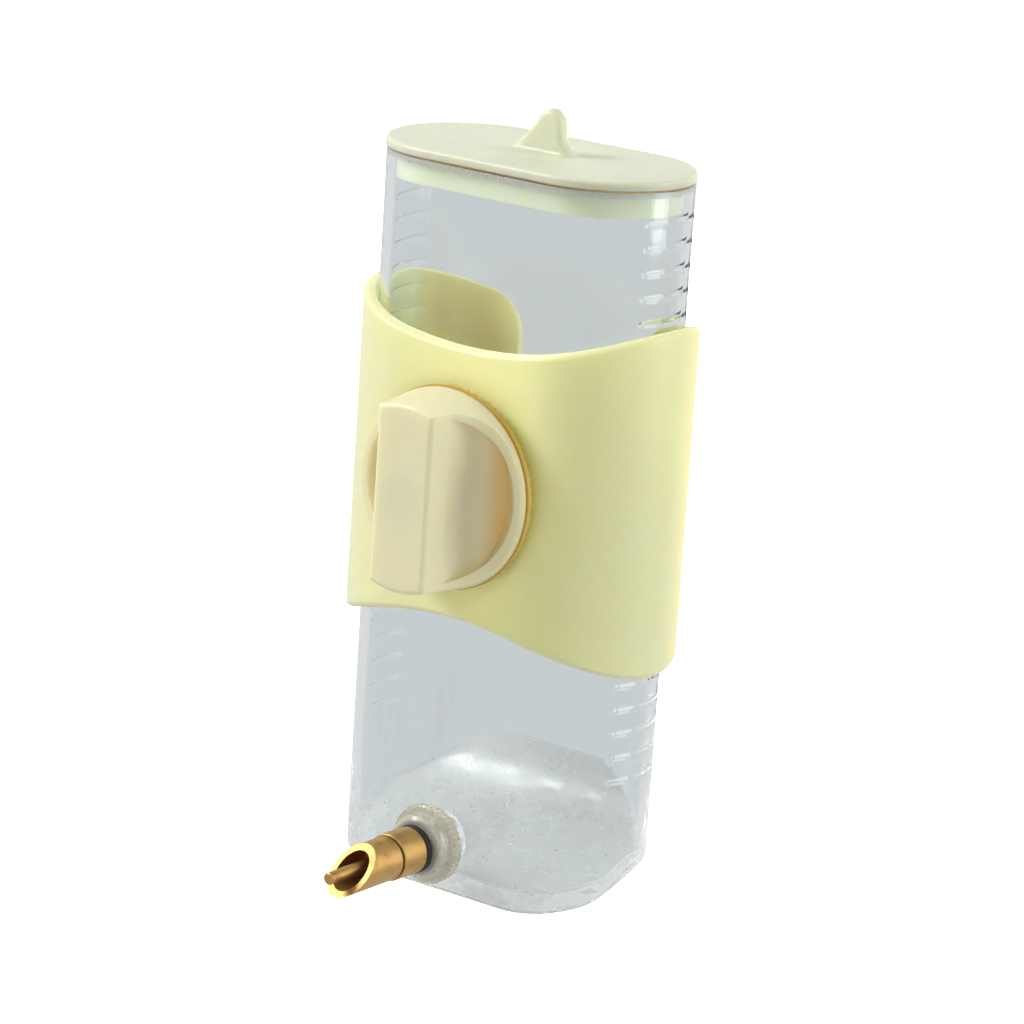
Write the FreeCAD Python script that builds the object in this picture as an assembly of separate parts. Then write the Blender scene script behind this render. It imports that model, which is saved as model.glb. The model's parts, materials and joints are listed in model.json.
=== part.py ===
import FreeCAD, Part
import math
import os

from FreeCAD import Vector

# Small-animal drinking bottle that hangs on a cage.  A clear flat-sided bottle with a sloping base
# stands in an open-backed clip.  The clip is clamped to the cage wires by a winged knob on a stud.
# Low on the front a brass nozzle with a push-and-tilt pin valve lets the water out.
#
# Working frame (millimetres): X along the bottle's wide side, -Y towards the cage, Z up.
# Z = 0 is the bottle's lowest edge and Y = 0 its middle plane.  An "offset" is a distance in front
# of the bottle's outer front wall, positive towards the cage.  save() moves everything so that the
# origin is where the clamp's axis meets the clip's front face.

# ---- driving dimensions ---------------------------------------------------------------------
BOTTLE_WIDTH = 70.0
BOTTLE_DEPTH = 38.1
WALL = 2.0
RIM_HEIGHT = 153.85          # top of the bottle's own wall
BASE_SLOPE = 0.32            # the base rises this much per millimetre towards the back
BASE_THICKNESS = 3.5         # measured upright
BACK_SWEEP = 15.0            # radii with which the base curves up into the back wall
SIDE_SWEEP = 4.0             # and into the round ends

MARK_COUNT = 24              # raised capacity marks on each round end
MARK_TOP = 147.3
MARK_PITCH = 5.107
MARK_ARC_START = 66.0        # degrees round the end, counted from the front
MARK_ARC_END = 114.0
MARK_RADIUS = 1.0            # the marks are shallow: most of each round section lies in the wall
MARK_INSET = 0.75
MARK_DOT_RADIUS = 1.2
MARK_DOT_INSET = 0.88

LID_THICKNESS = 1.8
LID_TOP = 156.15
LID_OVERHANG = 0.25
LID_EDGE_RADIUS = 0.7
SKIRT_DEPTH = 6.1
SKIRT_GAP = 0.3              # between the skirt and the bottle's inner wall
SKIRT_WALL = 1.5
SEAL_THICKNESS = 0.4
SEAL_INSET = 0.15
FIN_THICKNESS = 3.4
FIN_EDGE_RADIUS = 1.2
FIN_FOOT_RADIUS = 1.2        # hollow curve where the fin's sides run out into the lid's top

CLIP_GAP = 0.7               # between the clip and the bottle
CLIP_WALL = 2.4
CLIP_TOP = 117.8             # height of the clip's edges on its middle line
CLIP_BOTTOM = 60.6
CLIP_TOP_RADIUS = 92.0       # both long edges are arcs in the front view
CLIP_BOTTOM_RADIUS = 84.0
CLIP_CORNER_RADIUS = 10.0    # corners of the two arms' free ends
CLIP_EDGE_RADIUS = 1.3

CLAMP_HEIGHT = 89.1          # axis of the stud and the knob
STUD_RADIUS = 4.0
STUD_ROOT_RADIUS = 3.4
STUD_PITCH = 1.25
STUD_END = 18.5
STUD_THREAD_START = 5.3
STUD_HEAD_RADIUS = 8.0
STUD_HEAD_BACK = 0.95
STUD_HEAD_FRONT = 2.15
STUD_SQUARE = 8.2
POCKET_PLAY = 0.1

NUT_FLATS = 13.0
NUT_BACK = 5.2
NUT_FRONT = 11.7
NUT_BORE_RADIUS = 4.05

RING_RADIUS = 21.3
RING_INNER_RADIUS = 17.5
RING_BACK = 5.5
RING_FRONT = 6.3
RING_TEETH = 72
RING_TOOTH_HEIGHT = 0.5

KNOB_RADIUS = 21.0
KNOB_RIM_FRONT = 8.2
KNOB_RIM_INNER_RADIUS = 18.8
KNOB_DISC_BACK = 6.4
KNOB_HUB_RADIUS = 17.4
KNOB_HUB_BACK = 4.7
KNOB_FLOOR = 5.7
KNOB_FLOOR_RADIUS = 16.4
BAR_FRONT = 21.3
BAR_HALF_WIDTH = 6.9
BAR_END_RADIUS = 19.7
BAR_EDGE_RADIUS = 1.2
BAR_WAIST = (7.8, 16.0)      # (sideways, offset) points of the bar's hollow-curved flanks
BAR_HOLLOW = (10.0, 9.2)
BAR_FOOT = (16.2, 5.5)
SWOOP_MIDDLE = (10.9, 11.4)  # the same for the wall that swoops down from the bar to the rim
SWOOP_FOOT = (20.2, 8.0)
STUD_ROOM = 1.4              # depth left in the knob beyond the stud's end

NOZZLE_HEIGHT = 11.84
NECK_RADIUS = 5.2
NECK_THREAD_RADIUS = 5.6
NECK_BORE_RADIUS = 4.2
NECK_END = 7.4

CAP_BACK = 3.75
CAP_COLLAR_RADIUS = 8.5
CAP_COLLAR_FRONT = 6.2
CAP_BOSS_RADIUS = 6.9
CAP_FRONT = 9.4
CAP_BORE_RADIUS = 5.7
CAP_INSIDE_FRONT = 8.4
CAP_HOLE_RADIUS = 4.0
CAP_GROOVES = 44
CAP_GROOVE_RADIUS = 0.32

GROMMET_LIP_RADIUS = 5.1
BARREL_BACK = 11.0
BARREL_FRONT = 18.3
BARREL_RADIUS = 5.0
BARREL_TAIL_RADIUS = 2.85
BARREL_TAIL_END = -1.0
CHAMBER_RADIUS = 3.6
CHAMBER_BACK = 12.2
SPRING_BORE_RADIUS = 1.7
SPRING_SEAT = 5.8
INLET_RADIUS = 1.1

SPOUT_BACK = 18.7
SPOUT_RADIUS = 4.7
SPOUT_BORE_RADIUS = 3.5
SPOUT_BORE_BACK = 21.5
SPOUT_TAIL_RADIUS = 3.55
SPOUT_TAIL_END = 16.2
SPOUT_THROAT_RADIUS = 2.0
SPOUT_SEAT_RADIUS = 2.9
SPOUT_SEAT_FRONT = 18.2
MOUTH_MIDDLE = 30.0          # offset where the slanted mouth crosses the nozzle's axis
MOUTH_SLOPE = 1.04           # offset gained per millimetre downwards

SEAT_RING_OFFSET = 17.65
SEAT_RING_RADIUS = 2.33
SEAT_RING_SECTION = 0.54

PLUG_RADIUS = 2.5
PLUG_BACK = 14.0
PLUG_FRONT = 17.0
PIN_RADIUS = 1.3
PIN_NECK_RADIUS = 0.8
PIN_BALL_OFFSET = 15.9
PIN_BALL_RADIUS = 1.3
PIN_SHOULDER = 18.0
PIN_TIP = 37.5
SOCKET_PLAY = 0.06
SPRING_RADIUS = 1.32
SPRING_WIRE = 0.24
SPRING_TURNS = 7

# ---- worked-out places ----------------------------------------------------------------------
END_RADIUS = BOTTLE_DEPTH / 2.0
END_CENTRE = (BOTTLE_WIDTH - BOTTLE_DEPTH) / 2.0
CLIP_FRONT = CLIP_GAP + CLIP_WALL
FAR = 60.0                   # well outside the bottle


def front(offset):
    """Y of a point this far in front of the bottle's front wall."""
    return -END_RADIUS - offset


def save(name, shape):
    """Write one sub-part in the part's own frame."""
    moved = shape.copy()
    moved.translate(Vector(0, -front(CLIP_FRONT), -CLAMP_HEIGHT))
    moved.exportStep("parts/%s.step" % name)


# ---- shared building blocks -----------------------------------------------------------------
def stadium(offset, bottom, top):
    """Prism of the bottle's flat-sided, round-ended plan, grown outwards by offset."""
    radius = END_RADIUS + offset
    half = END_CENTRE
    corners = [Vector(half, -radius, bottom), Vector(half, radius, bottom),
               Vector(-half, radius, bottom), Vector(-half, -radius, bottom)]
    right = Part.Arc(corners[0], Vector(half + radius, 0, bottom), corners[1])
    left = Part.Arc(corners[2], Vector(-half - radius, 0, bottom), corners[3])
    edges = [right.toShape(), Part.makeLine(corners[1], corners[2]),
             left.toShape(), Part.makeLine(corners[3], corners[0])]
    return Part.Face(Part.Wire(edges)).extrude(Vector(0, 0, top - bottom))


def turned(profile, height):
    """Solid of revolution about a front-to-back axis, from (offset, radius) points."""
    points = [Vector(0, front(offset), height + radius) for offset, radius in profile]
    wire = Part.makePolygon(points + [points[0]])
    return Part.Face(wire).revolve(Vector(0, 0, height), Vector(0, -1, 0), 360)


def rod(radius, back, front_end, height):
    """Cylinder along the front-to-back axis between two offsets."""
    start = Vector(0, front(back), height)
    return Part.makeCylinder(radius, front_end - back, start, Vector(0, -1, 0))


def edges_where(shape, test):
    """Edges whose every vertex and middle point pass the test."""
    chosen = []
    for edge in shape.Edges:
        middle = edge.valueAt((edge.FirstParameter + edge.LastParameter) / 2.0)
        if all(test(point) for point in [vertex.Point for vertex in edge.Vertexes] + [middle]):
            chosen.append(edge)
    return chosen


def base_height(y):
    """Height of the sloping base's underside."""
    return BASE_SLOPE * (y + END_RADIUS)


def prism(start, arc_middle, corners, reach):
    """Solid from an outline that begins with an arc from start to corners[0], swept by reach."""
    edges = [Part.Arc(start, arc_middle, corners[0]).toShape()]
    edges += Part.makePolygon(corners + [start]).Edges
    return Part.Face(Part.Wire(edges)).extrude(reach)


def under_base(inset, thickness):
    """Everything under the base: its slope, swept up into the back wall and the round ends.

    With inset and thickness it is the space under the inner floor instead of the outside.
    """
    slope = math.atan(BASE_SLOPE)
    radius = BACK_SWEEP - inset
    centre_y = END_RADIUS - BACK_SWEEP
    centre_z = base_height(centre_y) + thickness + radius / math.cos(slope)

    def on_back(angle):
        return Vector(-FAR, centre_y + radius * math.sin(angle),
                      centre_z - radius * math.cos(angle))
    shapes = [prism(on_back(slope), on_back((slope + math.pi / 2) / 2),
                    [on_back(math.pi / 2), Vector(-FAR, FAR, centre_z),
                     Vector(-FAR, FAR, -FAR), Vector(-FAR, -FAR, -FAR),
                     Vector(-FAR, -FAR, base_height(-FAR) + thickness)],
                    Vector(2 * FAR, 0, 0))]
    radius = SIDE_SWEEP - inset
    centre_x = END_CENTRE + END_RADIUS - SIDE_SWEEP
    lowest = base_height(-FAR) + thickness
    for side in (1, -1):
        def on_side(angle):
            return Vector(side * (centre_x + radius * math.sin(angle)), -FAR,
                          lowest + radius * (1 - math.cos(angle)))
        shapes.append(prism(on_side(0), on_side(math.pi / 4),
                            [on_side(math.pi / 2), Vector(side * FAR, -FAR, lowest + radius),
                             Vector(side * FAR, -FAR, -2 * FAR),
                             Vector(side * centre_x, -FAR, -2 * FAR)],
                            Vector(0, 2 * FAR, 2 * FAR * BASE_SLOPE)))
    return shapes


def capacity_marks():
    """Raised arcs with a dot at each end, up both round ends of the bottle."""
    marks = []
    sweep = MARK_ARC_END - MARK_ARC_START
    for side in (1, -1):
        centre = side * END_CENTRE
        for index in range(MARK_COUNT):
            height = MARK_TOP - index * MARK_PITCH
            arc = Part.makeTorus(END_RADIUS - MARK_INSET, MARK_RADIUS, Vector(0, 0, 0),
                                 Vector(0, 0, 1), -180, 180, sweep)
            start = MARK_ARC_START - 90.0 if side > 0 else 270.0 - MARK_ARC_END
            arc.rotate(Vector(0, 0, 0), Vector(0, 0, 1), start)
            arc.translate(Vector(centre, 0, height))
            marks.append(arc)
            for angle in (MARK_ARC_START, MARK_ARC_END):
                reach = END_RADIUS - MARK_DOT_INSET
                x = centre + side * reach * math.sin(math.radians(angle))
                y = -reach * math.cos(math.radians(angle))
                marks.append(Part.makeSphere(MARK_DOT_RADIUS, Vector(x, y, height)))
    return marks


def make_bottle():
    neck = turned([(-WALL / 2.0, 0), (-WALL / 2.0, NECK_RADIUS + 1.2), (0.0, NECK_RADIUS + 1.2),
                   (1.2, NECK_RADIUS), (4.2, NECK_RADIUS), (4.6, NECK_THREAD_RADIUS),
                   (5.0, NECK_RADIUS), (5.6, NECK_RADIUS), (6.0, NECK_THREAD_RADIUS),
                   (6.4, NECK_RADIUS), (NECK_END, NECK_RADIUS), (NECK_END, 0)], NOZZLE_HEIGHT)
    outside = stadium(0, 0, RIM_HEIGHT).cut(under_base(0, 0))
    cavity = stadium(-WALL, 0, RIM_HEIGHT + 1).cut(under_base(WALL, BASE_THICKNESS))
    body = outside.fuse([neck] + capacity_marks())
    body = body.cut([cavity, rod(NECK_BORE_RADIUS, -WALL - 1, NECK_END + 1, NOZZLE_HEIGHT)])
    return body


def make_fin():
    """Lifting fin: in side view a long slope, a round tip and an upright, flared front."""
    outline = [(-8.0, -0.6), (-6.9, 0.2), (-3.2, 3.6), (-0.7, 6.9), (2.6, 9.3),
               (5.3, 7.4), (5.8, 4.0), (7.4, 0.9), (9.2, -0.6)]
    points = [Vector(x, -FIN_THICKNESS / 2.0, LID_TOP + rise) for x, rise in outline]
    curve = Part.BSplineCurve()
    curve.interpolate(points)
    wire = Part.Wire([curve.toShape(), Part.makeLine(points[-1], points[0])])
    fin = Part.Face(wire).extrude(Vector(0, FIN_THICKNESS, 0))
    long_edges = sorted(fin.Edges, key=lambda edge: -edge.Length)[:2]
    return fin.makeFillet(FIN_EDGE_RADIUS, long_edges)


def make_lid():
    bottom = LID_TOP - LID_THICKNESS
    plate = stadium(LID_OVERHANG, bottom, LID_TOP)

    def on_top(point):
        return abs(point.z - LID_TOP) < 0.01
    plate = plate.makeFillet(LID_EDGE_RADIUS, edges_where(plate, on_top))
    skirt = stadium(-WALL - SKIRT_GAP, bottom - SKIRT_DEPTH, bottom + 0.5)
    hollow = stadium(-WALL - SKIRT_GAP - SKIRT_WALL, bottom - SKIRT_DEPTH - 1, bottom)
    lid = plate.fuse([skirt, make_fin()]).cut(hollow)

    def on_fin_side(point):
        return (abs(point.z - LID_TOP) < 0.01 and abs(point.x) < FIN_THICKNESS * 4
                and abs(abs(point.y) - FIN_THICKNESS / 2.0) < 0.01)
    return lid.makeFillet(FIN_FOOT_RADIUS, edges_where(lid, on_fin_side))


def make_lid_seal():
    top = LID_TOP - LID_THICKNESS
    ring = stadium(-SEAL_INSET, top - SEAL_THICKNESS, top)
    return ring.cut(stadium(-WALL - SKIRT_GAP / 2.0, top - 2, top + 1))


# ---- clip, stud and knob --------------------------------------------------------------------
def between_clip_edges(shape):
    """Keep what lies between the clip's two arched edges."""
    upper = Part.makeCylinder(CLIP_TOP_RADIUS, 2 * FAR,
                              Vector(0, FAR, CLIP_TOP + CLIP_TOP_RADIUS), Vector(0, -1, 0))
    lower = Part.makeCylinder(CLIP_BOTTOM_RADIUS, 2 * FAR,
                              Vector(0, FAR, CLIP_BOTTOM - CLIP_BOTTOM_RADIUS), Vector(0, -1, 0))
    return shape.cut([upper, lower])


def clip_arm_block(side):
    """Elevation of one arm behind the middle plane, with its two free corners rounded."""
    x_low = END_CENTRE if side > 0 else -FAR
    block = Part.makeBox(FAR - END_CENTRE, FAR, CLIP_TOP + 30, Vector(x_low, 0, 0))
    block = between_clip_edges(block)

    def on_free_corner(point):
        return abs(abs(point.x) - END_CENTRE) < 0.01
    corners = [edge for edge in edges_where(block, on_free_corner)
               if abs(edge.Length - FAR) < 0.01 and CLIP_BOTTOM - 10 < edge.CenterOfMass.z]
    return block.makeFillet(CLIP_CORNER_RADIUS, corners)


def wall_offset(point):
    """How far a point lies outside the bottle's outer wall."""
    return math.hypot(max(abs(point.x) - END_CENTRE, 0), point.y) - END_RADIUS


def rounded_clip_rim(clip):
    """Round the clip's whole outer outline, but not the seams where flats meet round ends."""
    def on_outside(point):
        return abs(wall_offset(point) - CLIP_FRONT) < 0.01

    def is_seam(edge):
        start, end = [vertex.Point for vertex in edge.Vertexes]
        return math.hypot(start.x - end.x, start.y - end.y) < 0.01 and start.y < END_CENTRE
    outline = [edge for edge in edges_where(clip, on_outside) if not is_seam(edge)]
    return clip.makeFillet(CLIP_EDGE_RADIUS, outline)


def make_holder_clip():
    ring = stadium(CLIP_FRONT, 30, 140).cut(stadium(CLIP_GAP, 29, 141))
    ring = between_clip_edges(ring)
    front_half = ring.common(Part.makeBox(2 * FAR, FAR, 200, Vector(-FAR, -FAR, 0)))
    arms = [ring.common(clip_arm_block(side)) for side in (1, -1)]
    clip = rounded_clip_rim(front_half.fuse(arms).removeSplitter())
    pocket = rod(STUD_HEAD_RADIUS + POCKET_PLAY, 0, STUD_HEAD_FRONT + POCKET_PLAY, CLAMP_HEIGHT)
    return clip.cut([pocket, square_neck(STUD_SQUARE + 2 * POCKET_PLAY, 0, CLIP_FRONT + 1)])


def square_neck(size, back, front_end):
    corner = Vector(-size / 2.0, front(front_end), CLAMP_HEIGHT - size / 2.0)
    return Part.makeBox(size, front_end - back, size, corner)


def make_clamp_stud():
    profile = [(STUD_HEAD_BACK, 0), (STUD_HEAD_BACK, STUD_HEAD_RADIUS - 0.8),
               (STUD_HEAD_BACK + 0.6, STUD_HEAD_RADIUS), (STUD_HEAD_FRONT, STUD_HEAD_RADIUS),
               (STUD_HEAD_FRONT, STUD_RADIUS)]
    offset = STUD_THREAD_START
    while offset + STUD_PITCH < STUD_END - 0.6:
        profile += [(offset, STUD_RADIUS), (offset + STUD_PITCH * 0.5, STUD_ROOT_RADIUS),
                    (offset + STUD_PITCH * 0.6, STUD_ROOT_RADIUS)]
        offset += STUD_PITCH
    profile += [(offset, STUD_RADIUS), (STUD_END - 0.6, STUD_RADIUS), (STUD_END, STUD_ROOT_RADIUS),
                (STUD_END, 0)]
    neck = square_neck(STUD_SQUARE, STUD_HEAD_FRONT - 0.2, CLIP_FRONT - 0.05)
    return turned(profile, CLAMP_HEIGHT).fuse(neck)


def nut_prism(back, front_end):
    """Hexagon with two flats facing sideways."""
    corner_radius = NUT_FLATS / math.sqrt(3.0)
    points = []
    for index in range(6):
        angle = math.radians(90 + 60 * index)
        points.append(Vector(corner_radius * math.cos(angle), front(back),
                             CLAMP_HEIGHT + corner_radius * math.sin(angle)))
    wire = Part.makePolygon(points + [points[0]])
    return Part.Face(wire).extrude(Vector(0, -(front_end - back), 0))


def make_knob_nut():
    nut = nut_prism(NUT_BACK, NUT_FRONT)
    corner = NUT_FLATS / math.sqrt(3.0)
    chamfer = turned([(NUT_BACK, 0), (NUT_BACK, corner - 0.7), (NUT_BACK + 0.7, corner + 0.1),
                      (NUT_FRONT - 0.7, corner + 0.1), (NUT_FRONT, corner - 0.7), (NUT_FRONT, 0)],
                     CLAMP_HEIGHT)
    return nut.common(chamfer).cut(rod(NUT_BORE_RADIUS, NUT_BACK - 1, NUT_FRONT + 1, CLAMP_HEIGHT))


def make_grip_ring():
    """Flat ring behind the knob, with radial teeth that bite on the cage wires."""
    plate = rod(RING_RADIUS, RING_BACK, RING_FRONT, CLAMP_HEIGHT)
    hole = rod(RING_INNER_RADIUS, RING_BACK - 2, RING_FRONT + 1, CLAMP_HEIGHT)
    half_width = math.pi * RING_RADIUS / RING_TEETH * 0.8
    tooth_back = front(RING_BACK - RING_TOOTH_HEIGHT)
    root = front(RING_BACK + 0.1)
    teeth = []
    for index in range(RING_TEETH):
        points = [Vector(-half_width, root, RING_INNER_RADIUS - 1),
                  Vector(0, tooth_back, RING_INNER_RADIUS - 1),
                  Vector(half_width, root, RING_INNER_RADIUS - 1)]
        wire = Part.makePolygon(points + [points[0]])
        tooth = Part.Face(wire).extrude(Vector(0, 0, RING_RADIUS - RING_INNER_RADIUS + 2))
        tooth.rotate(Vector(0, 0, 0), Vector(0, 1, 0), index * 360.0 / RING_TEETH)
        tooth.translate(Vector(0, 0, CLAMP_HEIGHT))
        teeth.append(tooth)
    envelope = rod(RING_RADIUS, RING_BACK - 2, RING_FRONT, CLAMP_HEIGHT)
    return plate.fuse(teeth).common(envelope).cut(hole)


def flanked_block(hollow, foot):
    """Upright prism as wide as the bar at its front, with flanks that curve out to a foot."""
    bottom = CLAMP_HEIGHT - KNOB_RADIUS
    edges = []
    ends = []
    for side in (1, -1):
        top, waist, middle, toe, heel = [
            Vector(side * point[0], front(point[1]), bottom)
            for point in ((BAR_HALF_WIDTH, BAR_FRONT), BAR_WAIST, hollow, foot,
                          (foot[0], foot[1] - 0.3))]
        edges += [Part.makeLine(top, waist), Part.Arc(waist, middle, toe).toShape(),
                  Part.makeLine(toe, heel)]
        ends.append((top, heel))
    edges += [Part.makeLine(one, other) for one, other in zip(ends[0], ends[1])]
    wire = Part.Wire(Part.sortEdges(edges)[0])
    return Part.Face(wire).extrude(Vector(0, 0, 2 * KNOB_RADIUS))


def grip_bar():
    """Upright bar across the knob, and the wall that swoops down from its ends to the rim."""
    ledge = KNOB_RIM_FRONT - 0.4
    cone = turned([(BAR_FOOT[1] - 1, 0), (BAR_FOOT[1] - 1, KNOB_FLOOR_RADIUS),
                   (KNOB_FLOOR + 0.5, KNOB_FLOOR_RADIUS + 0.4), (ledge, KNOB_RIM_INNER_RADIUS),
                   (ledge, KNOB_RADIUS - 0.2), (KNOB_RIM_FRONT, KNOB_RADIUS - 0.2),
                   (BAR_FRONT, BAR_END_RADIUS), (BAR_FRONT, 0)], CLAMP_HEIGHT)
    recess = rod(KNOB_RIM_INNER_RADIUS, 0, BAR_FRONT + 1, CLAMP_HEIGHT)
    wall = flanked_block(SWOOP_MIDDLE, SWOOP_FOOT).cut(recess)
    bar = flanked_block(BAR_HOLLOW, BAR_FOOT).fuse(wall).common(cone).removeSplitter()

    def on_front(place):
        return abs(place.y - front(BAR_FRONT)) < 0.01
    return bar.makeFillet(BAR_EDGE_RADIUS, edges_where(bar, on_front))


def make_clamp_knob():
    disc = turned([(KNOB_HUB_BACK, 0), (KNOB_HUB_BACK, KNOB_HUB_RADIUS - 0.3),
                   (KNOB_HUB_BACK + 0.3, KNOB_HUB_RADIUS), (KNOB_DISC_BACK, KNOB_HUB_RADIUS),
                   (KNOB_DISC_BACK, KNOB_RADIUS - 0.3), (KNOB_DISC_BACK + 0.4, KNOB_RADIUS),
                   (KNOB_RIM_FRONT - 0.5, KNOB_RADIUS), (KNOB_RIM_FRONT, KNOB_RADIUS - 0.5),
                   (KNOB_RIM_FRONT, KNOB_RIM_INNER_RADIUS + 0.3),
                   (KNOB_RIM_FRONT - 0.4, KNOB_RIM_INNER_RADIUS - 0.1),
                   (KNOB_FLOOR + 0.5, KNOB_FLOOR_RADIUS + 0.3),
                   (KNOB_FLOOR, KNOB_FLOOR_RADIUS - 0.6), (KNOB_FLOOR, 0)], CLAMP_HEIGHT)
    knob = disc.fuse(grip_bar())
    pocket = nut_prism(KNOB_HUB_BACK - 1, NUT_FRONT)
    bore = rod(STUD_RADIUS + 0.3, KNOB_HUB_BACK - 1, STUD_END + STUD_ROOM, CLAMP_HEIGHT)
    return knob.cut([pocket, bore])


# ---- outlet and nozzle ----------------------------------------------------------------------
def make_outlet_cap():
    cap = turned([(CAP_BACK, CAP_BORE_RADIUS), (CAP_BACK, CAP_COLLAR_RADIUS - 0.4),
                  (CAP_BACK + 0.4, CAP_COLLAR_RADIUS), (CAP_COLLAR_FRONT - 0.4, CAP_COLLAR_RADIUS),
                  (CAP_COLLAR_FRONT, CAP_COLLAR_RADIUS - 0.4), (CAP_COLLAR_FRONT, CAP_BOSS_RADIUS),
                  (CAP_FRONT - 0.8, CAP_BOSS_RADIUS - 0.2), (CAP_FRONT, CAP_BOSS_RADIUS - 1.0),
                  (CAP_FRONT, CAP_HOLE_RADIUS), (CAP_INSIDE_FRONT, CAP_HOLE_RADIUS),
                  (CAP_INSIDE_FRONT, CAP_BORE_RADIUS)], NOZZLE_HEIGHT)
    grooves = []
    for index in range(CAP_GROOVES):
        angle = 2 * math.pi * index / CAP_GROOVES
        groove = rod(CAP_GROOVE_RADIUS, CAP_BACK - 1, CAP_COLLAR_FRONT + 0.5, NOZZLE_HEIGHT)
        groove.translate(Vector(CAP_COLLAR_RADIUS * math.cos(angle), 0,
                                CAP_COLLAR_RADIUS * math.sin(angle)))
        grooves.append(groove)
    return cap.cut(grooves)


def make_nozzle_grommet():
    bore = BARREL_TAIL_RADIUS + 0.05
    flange_back = NECK_END + 0.05
    flange_front = CAP_INSIDE_FRONT - 0.05
    sleeve = CAP_HOLE_RADIUS - 0.05
    return turned([(flange_back, bore), (flange_back, CAP_BORE_RADIUS - 0.2),
                   (flange_front, CAP_BORE_RADIUS - 0.2), (flange_front, sleeve),
                   (CAP_FRONT, sleeve), (CAP_FRONT, GROMMET_LIP_RADIUS - 0.2),
                   (CAP_FRONT + 0.2, GROMMET_LIP_RADIUS), (BARREL_BACK - 0.2, GROMMET_LIP_RADIUS),
                   (BARREL_BACK, GROMMET_LIP_RADIUS - 0.2), (BARREL_BACK, bore)], NOZZLE_HEIGHT)


def make_nozzle_barrel():
    barb = BARREL_TAIL_RADIUS + 0.5
    return turned([(BARREL_TAIL_END, INLET_RADIUS), (BARREL_TAIL_END, BARREL_TAIL_RADIUS - 0.2),
                   (NECK_END - 2.2, BARREL_TAIL_RADIUS), (NECK_END - 0.4, barb), (NECK_END, barb),
                   (NECK_END, BARREL_TAIL_RADIUS), (BARREL_BACK, BARREL_TAIL_RADIUS),
                   (BARREL_BACK, BARREL_RADIUS - 0.3), (BARREL_BACK + 0.3, BARREL_RADIUS),
                   (BARREL_FRONT - 0.15, BARREL_RADIUS), (BARREL_FRONT, BARREL_RADIUS - 0.15),
                   (BARREL_FRONT, CHAMBER_RADIUS), (CHAMBER_BACK, CHAMBER_RADIUS),
                   (CHAMBER_BACK, SPRING_BORE_RADIUS), (SPRING_SEAT, SPRING_BORE_RADIUS),
                   (SPRING_SEAT, INLET_RADIUS)], NOZZLE_HEIGHT)


def make_spout_washer():
    outer = SPOUT_RADIUS - 0.15
    return turned([(BARREL_FRONT, CHAMBER_RADIUS), (BARREL_FRONT, outer), (SPOUT_BACK, outer),
                   (SPOUT_BACK, CHAMBER_RADIUS)], NOZZLE_HEIGHT)


def make_nozzle_spout():
    tip = MOUTH_MIDDLE + MOUTH_SLOPE * SPOUT_RADIUS + 1
    spout = turned([(SPOUT_TAIL_END, SPOUT_SEAT_RADIUS), (SPOUT_TAIL_END, SPOUT_TAIL_RADIUS - 0.2),
                    (SPOUT_TAIL_END + 0.2, SPOUT_TAIL_RADIUS), (SPOUT_BACK, SPOUT_TAIL_RADIUS),
                    (SPOUT_BACK, SPOUT_RADIUS - 0.15), (SPOUT_BACK + 0.15, SPOUT_RADIUS),
                    (tip, SPOUT_RADIUS), (tip, SPOUT_BORE_RADIUS),
                    (SPOUT_BORE_BACK, SPOUT_BORE_RADIUS), (SPOUT_BORE_BACK, SPOUT_THROAT_RADIUS),
                    (SPOUT_SEAT_FRONT, SPOUT_THROAT_RADIUS),
                    (SPOUT_SEAT_FRONT, SPOUT_SEAT_RADIUS)], NOZZLE_HEIGHT)
    reach = 12.0
    upper = Vector(-reach, front(MOUTH_MIDDLE - MOUTH_SLOPE * reach), NOZZLE_HEIGHT + reach)
    lower = Vector(-reach, front(MOUTH_MIDDLE + MOUTH_SLOPE * reach), NOZZLE_HEIGHT - reach)
    corner = Vector(-reach, lower.y, upper.z)
    wire = Part.makePolygon([upper, lower, corner, upper])
    return spout.cut(Part.Face(wire).extrude(Vector(2 * reach, 0, 0)))


def make_valve_seat_ring():
    return Part.makeTorus(SEAT_RING_RADIUS, SEAT_RING_SECTION,
                          Vector(0, front(SEAT_RING_OFFSET), NOZZLE_HEIGHT), Vector(0, -1, 0))


def make_valve_plug():
    body = turned([(PLUG_BACK, 0), (PLUG_BACK, PLUG_RADIUS - 0.3),
                   (PLUG_BACK + 0.3, PLUG_RADIUS), (PLUG_FRONT - 0.2, PLUG_RADIUS),
                   (PLUG_FRONT, PLUG_RADIUS - 0.2), (PLUG_FRONT, 0)], NOZZLE_HEIGHT)
    socket = Part.makeSphere(PIN_BALL_RADIUS + SOCKET_PLAY,
                             Vector(0, front(PIN_BALL_OFFSET), NOZZLE_HEIGHT))
    opening = turned([(PIN_BALL_OFFSET, 0), (PIN_BALL_OFFSET, PIN_NECK_RADIUS + 0.12),
                      (PLUG_FRONT + 0.5, PIN_NECK_RADIUS + 0.3), (PLUG_FRONT + 0.5, 0)],
                     NOZZLE_HEIGHT)
    return body.cut([socket, opening])


def make_valve_pin():
    stem = turned([(PIN_BALL_OFFSET, 0), (PIN_BALL_OFFSET, PIN_NECK_RADIUS),
                   (PIN_SHOULDER, PIN_NECK_RADIUS), (PIN_SHOULDER, PIN_RADIUS - 0.2),
                   (PIN_SHOULDER + 0.2, PIN_RADIUS), (PIN_TIP - 0.25, PIN_RADIUS),
                   (PIN_TIP, PIN_RADIUS - 0.25), (PIN_TIP, 0)], NOZZLE_HEIGHT)
    ball = Part.makeSphere(PIN_BALL_RADIUS, Vector(0, front(PIN_BALL_OFFSET), NOZZLE_HEIGHT))
    return stem.fuse(ball)


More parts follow.
